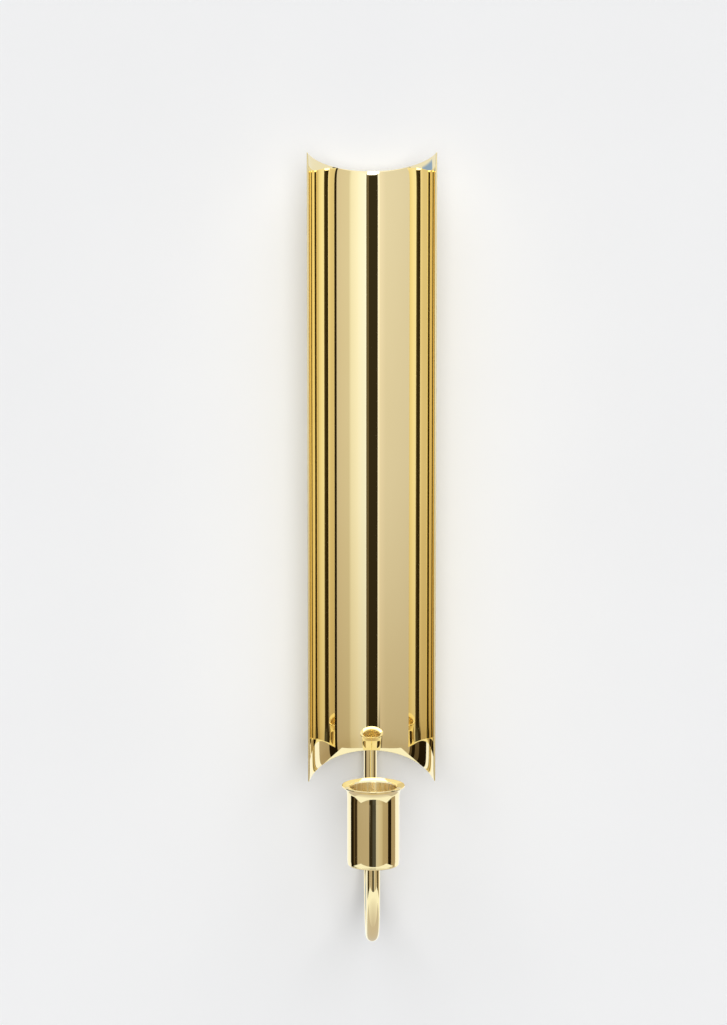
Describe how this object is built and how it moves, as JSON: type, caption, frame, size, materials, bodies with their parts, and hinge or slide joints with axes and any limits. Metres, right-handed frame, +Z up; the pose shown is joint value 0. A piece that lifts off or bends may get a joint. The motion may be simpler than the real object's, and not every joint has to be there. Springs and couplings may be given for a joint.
{
  "type": "wall sconce candle holder",
  "caption": "Wall candle sconce: tall half-pipe mirror brass reflector, with a small flared cup on a U-bent rod that swivels behind it.",
  "frame": {"origin": "centre of the keyhole's head hole, on the wall plane", "axes": "+X to the viewer's right, +Y into the wall, +Z up along the reflector"},
  "size_m": [0.065, 0.0917, 0.4022],
  "materials": {
    "brass_mirror": "mirror polished",
    "brass_polished": "polished",
    "brass_plain": "satin, as turned or sawn",
    "steel": "zinc plated",
    "nylon": "matte",
    "felt": "felt"
  },
  "bodies": {
    "sconce": {"reflector": "brass_mirror", "hanger_block": "brass_plain", "hanger_plate": "brass_plain", "hanger_screws": "steel", "arm_block": "brass_plain", "arm_bushes": "nylon", "wall_pads": "felt"},
    "swivel_arm": {"arm": "brass_polished", "arm_collar": "brass_plain", "collar_pin": "steel", "thrust_washer": "brass_plain", "wave_washer": "steel", "arm_nut": "brass_plain", "lock_nut": "brass_plain", "candle_cup": "brass_polished", "cup_washer": "steel", "cup_screw": "steel"}
  },
  "joints": [
    {"name": "arm_swivel", "type": "hinge", "parent": "sconce", "child": "swivel_arm", "pos_m": [0, -0.009, -0.24], "axis": [0, 0, 1], "range_deg": [-80, 80]}
  ]
}
